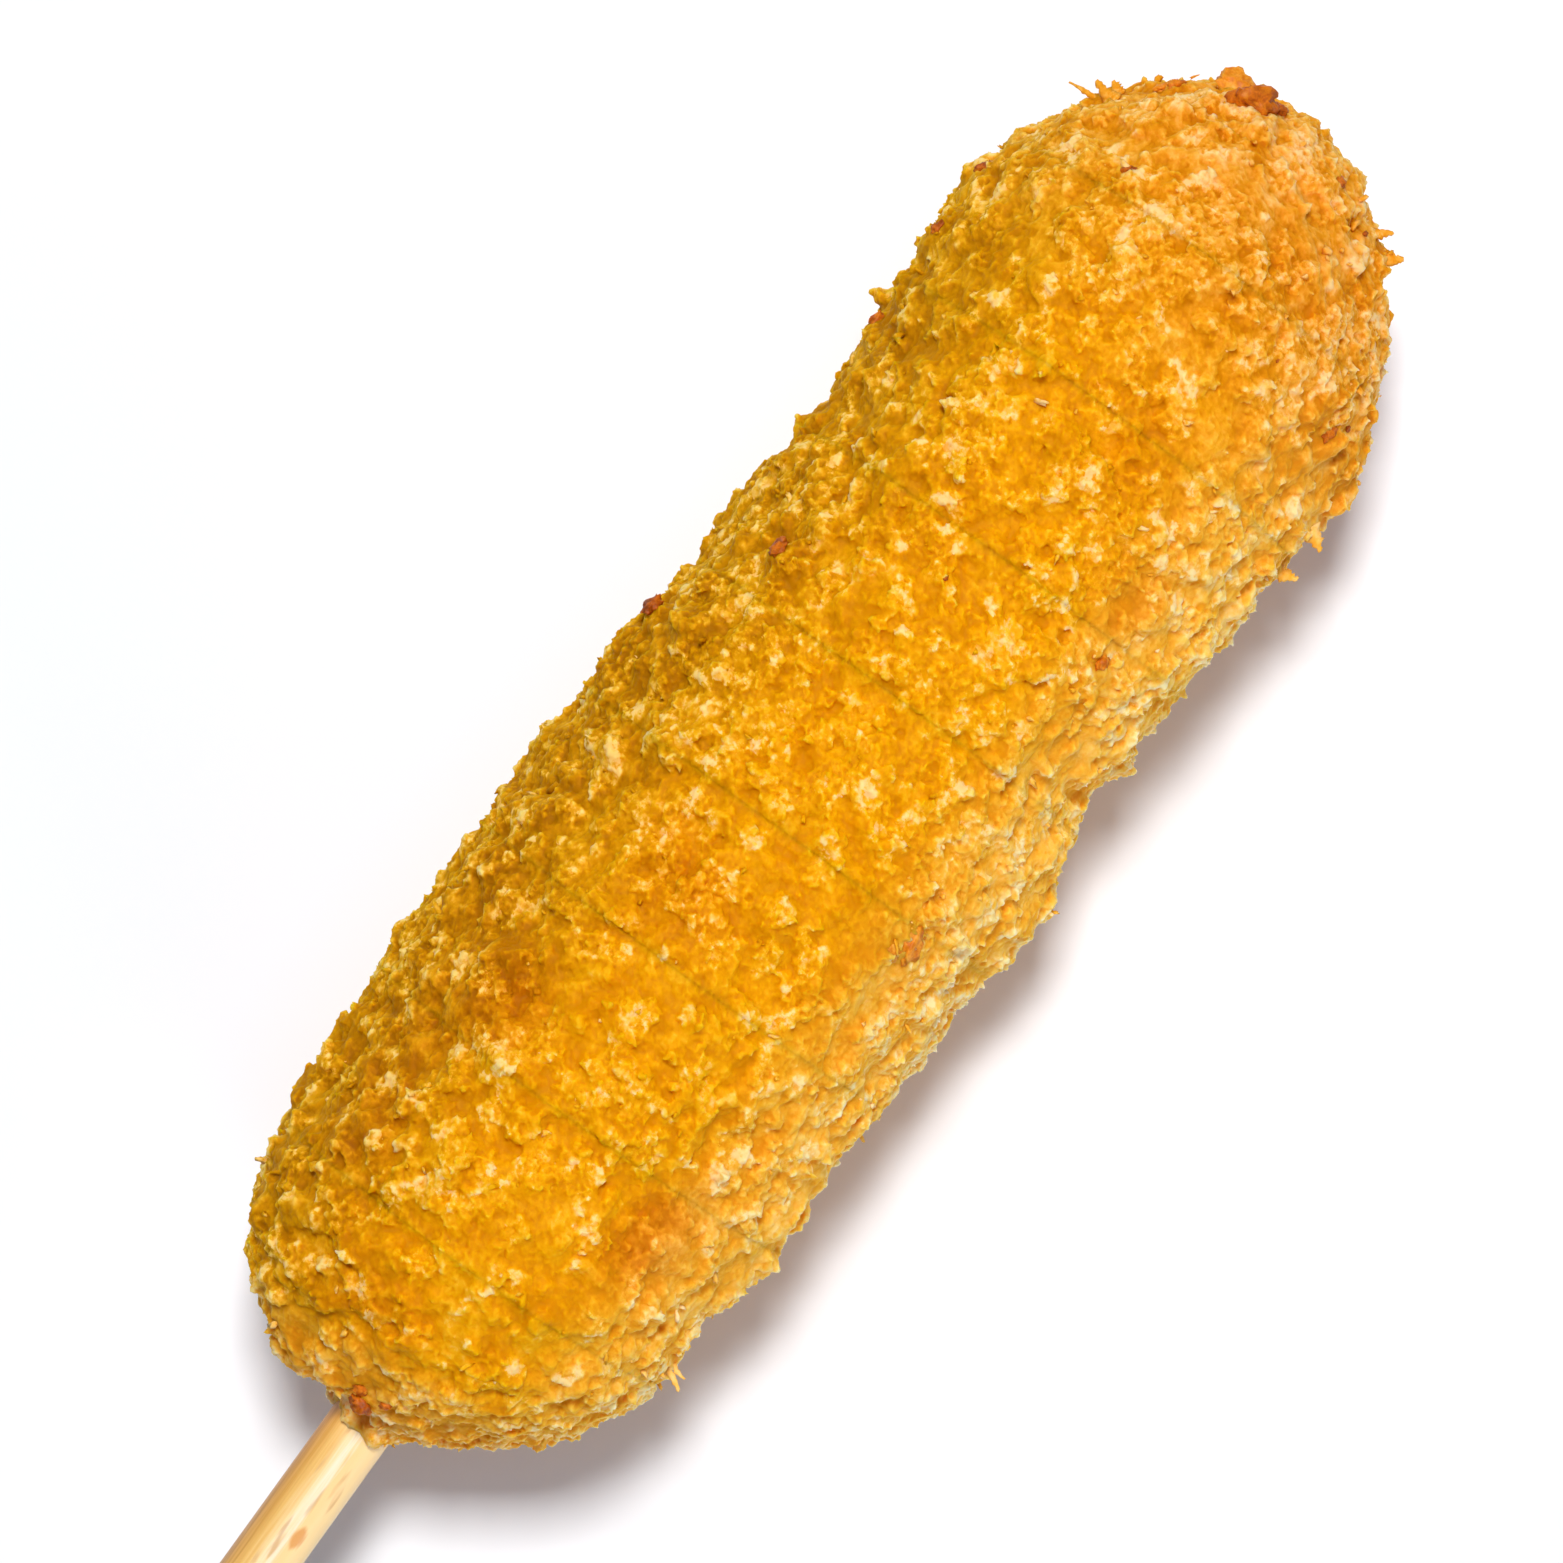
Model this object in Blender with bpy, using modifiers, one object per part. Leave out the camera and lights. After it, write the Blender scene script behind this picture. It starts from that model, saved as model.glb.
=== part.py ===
"""A panko-crusted corn dog on a round bamboo stick, lying on its side. Metres, +Z up.

+X runs from the bare end of the stick to the rounded tip, +Z is the side that faces up, and the origin is
the middle of the footprint, on the surface that the food rests on. The breaded body is one solid of
revolution about the stick, made uneven: a slanted neck end, swells and pinches, lumps of crumb, and a
narrow flat strip underneath where it has settled. The stick is a rod that runs into a blind hole in it.
"""

import math

import bmesh
import bpy
from mathutils import Vector, noise

# Driving dimensions
BODY_LENGTH = 0.1290  # along the stick, from the neck to the tip
BODY_RADIUS = 0.0195  # before the swells
NECK_CAP = 0.0220  # length over which the blunt neck end reaches full girth
NECK_POWER = 2.3  # superellipse exponent of that end: above 2 is blunter than an ellipse
TIP_CAP = 0.0235
TIP_POWER = 1.95
NECK_SLANT = 0.20  # how far the neck end leans back, per unit towards -Y
SEAT_DEPTH = 0.0008  # how much of the underside is pressed flat
STICK_RADIUS = 0.00275
STICK_LENGTH = 0.1800
STICK_OUT = 0.0800  # the bare part
STICK_EDGE = 0.0004  # rounding of the sawn ends
GAP = 0.0003  # between the stick and its hole

# Fineness of the body's surface
SIDES = 60
RING_SPACING = 0.0020
OUTLINE_SAMPLES = 400

# Broad swells and pinches: distance from the neck, angle around the stick from +Z towards +Y in degrees,
# reach along and around the surface, and height, in millimetres.
SWELLS = (
    (19, -90, 8, 10, -1.5),
    (62, -95, 7, 12, 1.0),
    (74, -85, 4, 14, -1.4),
    (103, -90, 9, 14, 1.3),
    (8, 90, 7, 10, -1.1),
    (46, 90, 22, 14, 1.0),
    (73, 85, 4, 14, -1.0),
    (89, 90, 10, 15, -1.2),
    (18, 48, 8, 8, 0.7),
    (28, 62, 6, 7, -1.0),
    (34, 8, 16, 8, 0.9),
    (30, -38, 8, 7, -0.9),
    (55, -30, 12, 12, 0.5),
    (87, 52, 7, 9, -0.8),
    (104, 20, 14, 14, 0.8),
    (12, 150, 8, 10, 0.6),
    (50, -140, 14, 8, 0.5),
)

# Lumps of crumb: size across and height, in metres
LUMPS = ((0.0110, 0.00060), (0.0052, 0.00055))
RIM_FADE = 0.0045  # the surface runs in evenly to the stick over this distance

CRUST_COLOUR = (0.80, 0.37, 0.035, 1.0)
BAMBOO_COLOUR = (0.86, 0.62, 0.33, 1.0)


def smooth_step(value):
    value = min(max(value, 0.0), 1.0)
    return value * value * (3 - 2 * value)


def outline_point(share):
    """(distance from the neck, radius) on the even outline, for share 0 at the neck to 1 at the tip."""
    distance = BODY_LENGTH * (1 - math.cos(math.pi * share)) / 2
    if distance < NECK_CAP:
        inset = 1 - distance / NECK_CAP
        power = NECK_POWER
    else:
        inset = max(0.0, 1 - (BODY_LENGTH - distance) / TIP_CAP)
        power = TIP_POWER
    return distance, BODY_RADIUS * max(0.0, 1 - inset**power) ** (1 / power)


def evenly_spaced(points, spacing):
    """Points at about that spacing along a polyline, with both of its ends."""
    lengths = [0.0]
    for before, after in zip(points, points[1:]):
        lengths.append(lengths[-1] + math.dist(before, after))
    count = round(lengths[-1] / spacing)
    spaced = []
    segment = 0
    for step in range(count + 1):
        wanted = lengths[-1] * step / count
        while segment < len(points) - 2 and lengths[segment + 1] < wanted:
            segment += 1
        share = (wanted - lengths[segment]) / (lengths[segment + 1] - lengths[segment])
        before, after = points[segment], points[segment + 1]
        spaced.append(tuple(a + (b - a) * share for a, b in zip(before, after)))
    return spaced


def body_profile():
    """(x, radius) from the hole's inner end, out along its wall, over the neck end and along to the tip."""
    hole_radius = STICK_RADIUS + GAP
    hole_end = STICK_LENGTH - STICK_OUT + GAP
    wall_rings = 8
    wall = [(hole_end * (1 - i / wall_rings), hole_radius) for i in range(wall_rings)]
    samples = [outline_point(i / OUTLINE_SAMPLES) for i in range(OUTLINE_SAMPLES + 1)]
    outside = [(0.0, hole_radius)] + [p for p in samples if p[1] > hole_radius] + [(BODY_LENGTH, 0.0)]
    return [(hole_end, 0.0)] + wall + evenly_spaced(outside, RING_SPACING)


def swell_height(x, angle):
    """The summed height of the broad swells at a place on the even body."""
    height = 0.0
    for along, around, reach_along, reach_around, peak in SWELLS:
        turn = math.remainder(angle - math.radians(around), 2 * math.pi)
        away = ((x * 1000 - along) / reach_along) ** 2 + (turn * BODY_RADIUS * 1000 / reach_around) ** 2
        height += peak / 1000 * math.exp(-away)
    return height


def lump_height(point):
    """Rounded lumps of crumb, from noise at two sizes."""
    height = 0.0
    for order, (size, peak) in enumerate(LUMPS):
        shifted = point / size + Vector((17.0 * order, 5.0, 9.0))
        height += peak * noise.noise(shifted, noise_basis="PERLIN_NEW") * 1.6
    return height


def uneven(point):
    """Moves a point of the even body's outside to its place on the real one."""
    radius = math.hypot(point.y, point.z)
    angle = math.atan2(point.y, point.z)
    away_from_rim = smooth_step((radius - STICK_RADIUS - GAP) / RIM_FADE) if point.x < NECK_CAP else 1.0
    girth = min(1.0, radius / BODY_RADIUS)
    outward = Vector((0.0, math.sin(angle), math.cos(angle)))
    if point.x < NECK_CAP:
        outward = Vector((-(1 - girth), outward.y * girth, outward.z * girth)).normalized()
    elif point.x > BODY_LENGTH - TIP_CAP:
        outward = Vector((1 - girth, outward.y * girth, outward.z * girth)).normalized()
    height = swell_height(point.x, angle) * girth + lump_height(point)
    moved = point + outward * height * away_from_rim
    lean = NECK_SLANT * (1 - smooth_step(point.x / (2.5 * NECK_CAP))) * away_from_rim
    moved.x -= lean * moved.y
    moved.z = max(moved.z, SEAT_DEPTH - BODY_RADIUS)
    return moved


def material(name, colour, roughness):
    made = bpy.data.materials.new(name)
    made.use_nodes = True
    shader = made.node_tree.nodes["Principled BSDF"]
    shader.inputs["Base Color"].default_value = colour
    shader.inputs["Roughness"].default_value = roughness
    shader.inputs["Metallic"].default_value = 0.0
    made.diffuse_color = colour
    return made


def breaded_body(collection):
    """The body, with its hole for the stick. Its origin is on the stick's axis at the neck."""
    mesh = bpy.data.meshes.new("breaded_body")
    body = bpy.data.objects.new("breaded_body", mesh)
    collection.objects.link(body)
    shape = bmesh.new()
    corners = [shape.verts.new((x, 0.0, radius)) for x, radius in body_profile()]
    edges = [shape.edges.new(pair) for pair in zip(corners, corners[1:])]
    bmesh.ops.spin(
        shape,
        geom=corners + edges,
        cent=(0, 0, 0),
        axis=(1, 0, 0),
        angle=2 * math.pi,
        steps=SIDES,
        use_merge=True,
    )
    bmesh.ops.remove_doubles(shape, verts=shape.verts, dist=1e-6)
    bmesh.ops.recalc_face_normals(shape, faces=shape.faces)
    hole = STICK_RADIUS + GAP + 1e-6
    for vertex in shape.verts:
        in_hole = math.hypot(vertex.co.y, vertex.co.z) < hole and vertex.co.x < BODY_LENGTH - TIP_CAP
        if not in_hole:
            vertex.co = uneven(vertex.co)
    shape.to_mesh(mesh)
    shape.free()
    mesh.shade_smooth()
    mesh.set_sharp_from_angle(angle=math.radians(60))
    mesh.materials.append(material("toasted_crumb", CRUST_COLOUR, 0.62))
    return body


def bamboo_stick(collection):
    """The stick, a round rod with eased ends. Its origin is its own middle."""
    bpy.ops.mesh.primitive_cylinder_add(vertices=32, radius=STICK_RADIUS, depth=STICK_LENGTH)
    stick = bpy.context.object
    stick.name = stick.data.name = "bamboo_stick"
    for owner in stick.users_collection:
        owner.objects.unlink(stick)
    collection.objects.link(stick)
    edge = stick.modifiers.new("eased_ends", "BEVEL")
    edge.width = STICK_EDGE
    edge.segments = 2
    edge.limit_method = "ANGLE"
    edge.angle_limit = math.radians(40)
    stick.rotation_euler = (0, math.radians(90), 0)
    stick.data.shade_smooth()
    stick.data.set_sharp_from_angle(angle=math.radians(40))
    stick.data.materials.append(material("bamboo", BAMBOO_COLOUR, 0.42))
    return stick


def footprint_middle(body):
    """How far the body's middle lies from the stick's axis, along Y."""
    sides = [vertex.co.y for vertex in body.data.vertices]
    return (min(sides) + max(sides)) / 2


def main():
    for leftover in list(bpy.data.objects):
        bpy.data.objects.remove(leftover)
    collection = bpy.data.collections.new("corn_dog")
    bpy.context.scene.collection.children.link(collection)
    body = breaded_body(collection)
    stick = bamboo_stick(collection)
    tip = max(vertex.co.x for vertex in body.data.vertices)
    neck = (STICK_OUT - tip) / 2  # puts the whole length's middle at X = 0
    axis_height = BODY_RADIUS - SEAT_DEPTH
    side_shift = -footprint_middle(body)
    body.location = (neck, side_shift, axis_height)
    stick.location = (neck - STICK_OUT + STICK_LENGTH / 2, side_shift, axis_height)


main()
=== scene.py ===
"""Looks of a panko-crusted corn dog on a round bamboo stick, lying on its side.

The crust is thousands of ragged crumbs fused into one rough surface, amber in its hollows and cream on its
crests, with grit and wisps of crumb on it, a few browned crumbs, and strands that stand out at its edge. The
stick is a bamboo rod with lengthwise fibres. Places on the food are given in millimetres: along the stick from the neck to the tip,
and across it, towards +Y.
"""

import math

import bmesh
import bpy
import numpy as np
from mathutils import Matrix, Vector, noise
from mathutils.kdtree import KDTree


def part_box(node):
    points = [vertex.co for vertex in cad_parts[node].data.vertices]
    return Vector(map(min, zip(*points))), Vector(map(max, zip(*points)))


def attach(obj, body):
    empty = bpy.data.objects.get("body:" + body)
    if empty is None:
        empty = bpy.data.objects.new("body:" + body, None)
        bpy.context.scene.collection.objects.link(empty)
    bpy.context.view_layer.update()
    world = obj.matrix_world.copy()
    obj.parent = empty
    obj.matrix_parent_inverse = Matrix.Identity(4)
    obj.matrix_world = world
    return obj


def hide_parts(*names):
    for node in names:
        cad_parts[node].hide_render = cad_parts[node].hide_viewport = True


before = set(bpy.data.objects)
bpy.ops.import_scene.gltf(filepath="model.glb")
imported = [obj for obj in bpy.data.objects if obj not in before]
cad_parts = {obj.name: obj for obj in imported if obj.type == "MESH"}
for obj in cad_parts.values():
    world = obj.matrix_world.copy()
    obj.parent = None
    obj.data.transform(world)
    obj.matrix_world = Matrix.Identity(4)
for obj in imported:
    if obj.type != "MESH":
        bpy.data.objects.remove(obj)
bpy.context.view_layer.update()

MM = 0.001
BODY_LOW, BODY_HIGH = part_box("breaded_body")
STICK_LOW, STICK_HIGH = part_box("bamboo_stick")
STICK_RADIUS = (STICK_HIGH.z - STICK_LOW.z) / 2
AXIS_Y = (STICK_LOW.y + STICK_HIGH.y) / 2
AXIS_Z = (STICK_LOW.z + STICK_HIGH.z) / 2
NECK_X = STICK_LOW.x + 80 * MM  # where the stick enters the crust
BLEMISH = (NECK_X - 11.3 * MM, -1.2 * MM, 0.0)  # a stain on the stick, from the stick's middle
STICK_ENTRY = np.array((NECK_X, AXIS_Y, AXIS_Z))
BODY_RADIUS = 19.5 * MM

# The crust's surface
BED_CELL = 0.9 * MM  # faces of the smooth body that crumbs are laid on
BED_INSET = 0.80 * MM  # how far that body lies inside the crumbs' outer surface
LAYER_CELL = 0.40 * MM  # faces of the crumbs before they get their grain
UPPER_CELL = 0.19 * MM  # faces of the finished crust, on the upper side
UNDER_CELL = 0.38 * MM  # and underneath
UNDER_HEIGHT = AXIS_Z - 5 * MM  # where the two meet
CUT_MARGIN = 1.5 * MM  # of crust that is carried along past a cut, until it is made
UPPER_CUTS = (0.125, 0.235, 0.345, 0.45, 0.555, 0.66, 0.77, 0.88)  # where the upper crust is divided, as shares of it

# Places in millimetres along and across, reach in millimetres, strength
CLUMPED = ((41, 13, 9, 1.3), (25, 10.5, 7, 1.3), (20, 15, 6, 1.2), (33, 15, 6, 1.0), (66, 15, 8, 0.7), (86, 15, 8, 0.8))
FINE_GRAINED = ((27, -1, 9, 1.0), (36, -1, 6, 0.8), (19, -3, 6, 0.6))
ORANGE = (
    (115, -3.5, 7, 0.35),
    (100, -2.7, 7, 0.40),
    (49, 3, 7, 0.60),
    (35, 8.5, 5, 0.75),
    (23, -6.5, 5, 0.50),
    (6, 4, 5, 0.80),
    (27, -11, 5, 0.85),
    (20, 15, 5, 0.80),
    (88, -12, 7, 0.45),
    (84, 3, 7, 0.35),
    (30, 15, 7, 0.55),
    (40, 16, 7, 0.45),
    (76, 14, 3, 0.60),
    (116, -14, 5, 0.40),
    (57, -13.5, 3, 0.55),
    (10, 9, 6, 0.40),
)
YELLOW = ((27, 0, 8, 0.9), (36, -1, 7, 0.8), (18, -1, 6, 0.6), (60, -2, 8, 0.35), (106, -6, 6, 0.35))


# Browned crumbs: along and across, length, width and height in millimetres, turn of the length from the stick in
# degrees, lift, and how pale it is from 0 to 1
BROWNED = (
    (127.6, 5.9, (3.1, 2.2, 2.6), -54, 0.6, 0.85),
    (127.2, 4.2, (3.8, 2.2, 2.4), -54, 0.35, 0.35),
    (127.9, 1.9, (1.6, 1.1, 1.1), -20, 0.2, 0.15),
    (125.2, 9.9, (1.3, 0.9, 0.9), -40, 0.2, 0.45),
    (124.2, 11.0, (1.6, 0.8, 0.7), -30, 0.1, 0.70),
    (111.0, 18.7, (1.6, 1.0, 0.9), 15, 0.2, 0.25),
    (104.3, 18.9, (1.3, 0.9, 0.8), -10, 0.2, 0.20),
    (96.0, 18.7, (1.5, 0.8, 0.8), 5, 0.2, 0.35),
    (76.2, 14.0, (2.1, 1.5, 1.1), 40, 0.1, 0.20),
    (66.3, 19.8, (2.0, 1.3, 1.2), 60, 0.3, 0.05),
    (56.6, -13.5, (3.0, 2.2, 1.1), 20, 0.05, 0.75),
    (55.3, -12.6, (1.5, 1.2, 0.8), 70, 0.05, 0.85),
    (83.4, -12.7, (1.5, 1.0, 0.8), -30, 0.0, 0.60),
    (109.0, -16.6, (1.6, 1.2, 0.8), 10, 0.0, 0.40),
    (126.0, -5.6, (1.1, 0.9, 0.8), 0, 0.1, 0.25),
    (116.0, 9.3, (1.1, 0.6, 0.6), -60, 0.1, 0.20),
    (0.9, 0.6, (2.2, 1.6, 1.3), 40, 0.3, 0.30),
    (1.7, 1.7, (1.3, 1.0, 0.9), 80, 0.2, 0.50),
    (1.9, -0.4, (1.0, 0.8, 0.7), -40, 0.1, 0.45),
    (84.4, 9.5, (0.7, 0.4, 0.4), 30, 0.1, 0.05),
    (81.2, 1.2, (0.5, 0.4, 0.4), 0, 0.1, 0.05),
    (110.2, -17.8, (0.6, 0.5, 0.4), 50, 0.1, 0.10),
    (105.0, -18.0, (0.5, 0.4, 0.4), 10, 0.1, 0.10),
    (123.3, -9.4, (0.6, 0.4, 0.4), -30, 0.1, 0.15),
    (114.7, -6.5, (0.4, 0.3, 0.3), 0, 0.1, 0.10),
    (110.4, -9.8, (0.4, 0.3, 0.3), 0, 0.1, 0.10),
)

# Strands that stand out: along and across, length and thickness, the way they point, and their bend
STRANDS = (
    (120.6, 15.4, 2.6, 0.55, (-0.05, 1.0, 0.1), -0.12),
    (121.2, 13.4, 2.3, 1.5, (-0.05, 1.0, 0.1), 0.10),
    (122.4, 13.4, 1.3, 1.3, (0.30, 1.0, 0.1), 0.10),
    (125.6, -10.6, 1.6, 1.0, (0.9, -0.5, 0.1), 0.30),
    (123.8, -13.0, 1.6, 1.2, (0.7, -0.8, 0.1), 0.0),
    (101.6, -20.5, 2.0, 1.6, (-0.4, -0.9, 0.1), 0.2),
    (98.3, -20.4, 1.8, 1.4, (0.1, -1.0, 0.0), -0.2),
    (16.9, -18.2, 2.2, 0.8, (-0.3, -0.9, 0.0), 0.2),
    (18.3, -18.4, 1.5, 0.6, (-0.7, -0.8, 0.0), -0.3),
    (36.2, 19.3, 1.4, 0.7, (0.3, 0.9, 0.0), 0.2),
    (12.4, 17.4, 1.3, 0.6, (-0.4, 0.9, 0.0), -0.2),
)


def smooth_step(value, low=0.0, high=1.0):
    """0 below low, 1 above high, and an even rise between; for numbers and arrays."""
    share = np.clip((value - low) / (high - low), 0.0, 1.0)
    return share * share * (3 - 2 * share)


def linear(red, green, blue):
    """A colour as the screen shows it, 0 to 255, as the linear colour that a shader takes."""
    def channel(value):
        share = value / 255
        return share / 12.92 if share <= 0.04045 else ((share + 0.055) / 1.055) ** 2.4
    return (channel(red), channel(green), channel(blue), 1.0)


# ---------------------------------------------------------------- materials


class Signal:
    """A socket in a material. Arithmetic on it adds Math nodes, and node() adds any other node."""

    def __init__(self, tree, socket=None):
        self.tree = tree
        self.socket = socket

    def node(self, kind, output=0, settings=None, stops=None, **values):
        """A new node's output. Values go to sockets by name, or to number N as inN."""
        made = self.tree.nodes.new("ShaderNode" + kind)
        for name, value in (settings or {}).items():
            setattr(made, name, value)
        if stops:
            ramp = made.color_ramp
            while len(ramp.elements) < len(stops):
                ramp.elements.new(0.5)
            for element, (position, colour) in zip(ramp.elements, stops):
                element.position = position
                element.color = colour
        for name, value in values.items():
            number = name.startswith("in") and name[2:].isdigit()
            target = made.inputs[int(name[2:]) if number else name.replace("_", " ")]
            if isinstance(value, Signal):
                self.tree.links.new(value.socket, target)
            else:
                target.default_value = value
        return Signal(self.tree, made.outputs[output])

    def other(self, name):
        """Another output of the node that this value comes from."""
        return Signal(self.tree, self.socket.node.outputs[name])

    def maths(self, operation, first, second):
        return self.node("Math", settings={"operation": operation}, in0=first, in1=second)

    def __add__(self, other):
        return self.maths("ADD", self, other)

    def __radd__(self, other):
        return self.maths("ADD", other, self)

    def __sub__(self, other):
        return self.maths("SUBTRACT", self, other)

    def __rsub__(self, other):
        return self.maths("SUBTRACT", other, self)

    def __mul__(self, other):
        return self.maths("MULTIPLY", self, other)

    def __rmul__(self, other):
        return self.maths("MULTIPLY", other, self)

    def ramp(self, factor, *shades):
        """Evenly spaced shades, each as red, green and blue from 0 to 255, as factor goes from 0 to 1."""
        stops = [(number / (len(shades) - 1), linear(*shade)) for number, shade in enumerate(shades)]
        return self.node("ValToRGB", stops=stops, Fac=factor)

    def mix(self, factor, first, second):
        """The first colour, turning into the second as factor goes from 0 to 1."""
        settings = {"data_type": "RGBA", "clamp_factor": True}
        return self.node("Mix", output=2, settings=settings, in0=factor, in6=first, in7=second)

    def shifted(self, other, amount):
        """This vector moved by another one, whose values run from 0 to 1, at most half of amount each way."""
        centred = self.node("VectorMath", settings={"operation": "SUBTRACT"}, in0=other, in1=(0.5, 0.5, 0.5))
        moved = self.node("VectorMath", settings={"operation": "SCALE"}, in0=centred, Scale=amount)
        return self.node("VectorMath", settings={"operation": "ADD"}, in0=self, in1=moved)

    def between(self, low, high):
        """0 where this value is below low and 1 above high, with a smooth rise."""
        return self.node(
            "MapRange",
            settings={"interpolation_type": "SMOOTHSTEP"},
            Value=self,
            From_Min=low,
            From_Max=high,
            To_Min=0.0,
            To_Max=1.0,
        )


def new_material(name):
    """A material, a Signal to build its nodes from, and its Principled shader."""
    material = bpy.data.materials.new(name)
    material.use_nodes = True
    tree = material.node_tree
    return material, Signal(tree), tree.nodes["Principled BSDF"]


def connect(shader, name, signal):
    signal.tree.links.new(signal.socket, shader.inputs[name])


def stored(make, name):
    """A number that each corner of a piece's mesh carries."""
    return make.node("Attribute", output=2, settings={"attribute_name": name})


def crumb_material(name, softness):
    """Fried crumb: amber in its hollows, gold on the flanks of a crumb, cream on its crests and grains, with painted
    shade on the food's +Y flank and painted light on its -Y flank and neck end.
    """
    material, make, shader = new_material(name)
    place = make.node("TexCoord", output=3)
    wander = make.node("TexNoise", output=1, Vector=place, Scale=1500.0, Detail=1.0)
    crooked = place.shifted(wander, 0.35 * MM)
    grains = make.node("TexVoronoi", Vector=crooked, Scale=2100.0)
    kind = make.node("SeparateColor", Color=grains.other("Color"))
    mottle = make.node("TexNoise", Vector=place, Scale=620.0, Detail=4.0, Roughness=0.65)
    drift = make.node("TexNoise", Vector=place, Scale=120.0, Detail=2.0, Roughness=0.5)
    swell = make.node("TexNoise", Vector=place, Scale=290.0, Detail=2.0, Roughness=0.5)

    speckle = make.node("TexNoise", Vector=place, Scale=1650.0, Detail=3.0, Roughness=0.6)
    scraps = make.node("TexNoise", Vector=place, Scale=540.0, Detail=5.0, Roughness=0.72)
    scrap = scraps.between(0.52, 0.62)
    dome = 1.0 - grains * 1.6
    fleck = kind.between(0.40, 0.95) * dome.between(0.10, 0.70)
    knot = stored(make, "knot")
    crumb = stored(make, "crumb")
    height = stored(make, "crest") * 0.22 + stored(make, "rise") * 0.16 + stored(make, "tone") * 0.20
    patches = mottle.between(0.32, 0.68) * 0.26 + (knot * 0.5 + 0.5) * (speckle.between(0.38, 0.64) * 0.24 + fleck * 0.18)
    scales = (knot * 0.75 + 0.25) * (crumb.between(0.50, 0.95) * 0.44 + scrap * 0.38)
    depth = height + patches + scales + swell.between(0.25, 0.75) * 0.40 + drift.between(0.3, 0.7) * 0.14 + knot * 0.04 - 0.36
    toast = stored(make, "toast") * 1.2 + drift * 1.1 - 0.55 + swell * 0.4 - 0.2 + mottle * 0.3 - 0.15
    gold = make.ramp(depth, (218, 141, 0), (226, 152, 0), (234, 163, 2), (240, 175, 24), (246, 190, 80), (250, 205, 132))
    browned = make.ramp(depth, (196, 106, 0), (208, 120, 0), (220, 135, 0), (232, 151, 16), (242, 173, 64), (248, 198, 120))
    # shades for the painted shade on the food's +Y flank
    shaded = make.ramp(depth, (150, 93, 0), (170, 110, 0), (191, 129, 2), (213, 151, 16), (233, 175, 56), (246, 197, 102))
    # shades for the painted light on the -Y flank and the neck end, and for the paler lip round the stick
    pale = make.ramp(depth, (236, 161, 34), (244, 174, 52), (249, 187, 76), (252, 198, 106), (253, 210, 136), (254, 221, 160))
    rosy = make.ramp(depth, (203, 116, 4), (220, 137, 18), (232, 154, 48), (238, 169, 80), (242, 183, 108), (244, 194, 128))
    colour = make.mix(toast.between(0.0, 0.9) * 0.85, gold, browned)
    # painted shade: the food's +Y flank turns to the darker shaded shades
    colour = make.mix(stored(make, "olive") * 0.8, colour, shaded)
    # painted light brightens the -Y flank and the neck end; the crust's lip round the stick is paler in its own colour
    colour = make.mix(stored(make, "pale") * 0.95, colour, pale)
    colour = make.mix(stored(make, "rosy") * 0.9, colour, rosy)
    connect(shader, "Base Color", colour)
    connect(shader, "Roughness", 0.50 + mottle * 0.22)
    bump = make.node("Bump", Strength=0.45, Distance=0.14 * MM, Height=mottle + speckle * 0.8)
    connect(shader, "Normal", bump)
    shader.inputs["Subsurface Weight"].default_value = softness
    shader.inputs["Subsurface Radius"].default_value = (1.0, 0.80, 0.62)
    shader.inputs["Subsurface Scale"].default_value = 1.4 * MM
    shader.inputs["Specular IOR Level"].default_value = 0.04
    return material


def browned_material():
    """Crumb fried to a red brown, paler where it is thick."""
    material, make, shader = new_material("browned_crumb")
    place = make.node("TexCoord", output=3)
    mottle = make.node("TexNoise", Vector=place, Scale=1300.0, Detail=4.0, Roughness=0.65)
    shade = stored(make, "tone") * 0.7 + mottle.between(0.30, 0.70) * 0.45 - 0.08
    colour = make.ramp(shade, (122, 54, 0), (170, 80, 4), (204, 110, 8), (226, 142, 26), (242, 174, 62))
    connect(shader, "Base Color", colour)
    connect(shader, "Roughness", 0.40 + mottle * 0.2)
    connect(shader, "Normal", make.node("Bump", Strength=0.5, Distance=0.12 * MM, Height=mottle))
    shader.inputs["Subsurface Weight"].default_value = 0.5
    shader.inputs["Subsurface Radius"].default_value = (1.0, 0.6, 0.4)
    shader.inputs["Subsurface Scale"].default_value = 0.4 * MM
    shader.inputs["Specular IOR Level"].default_value = 0.2
    return material


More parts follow.
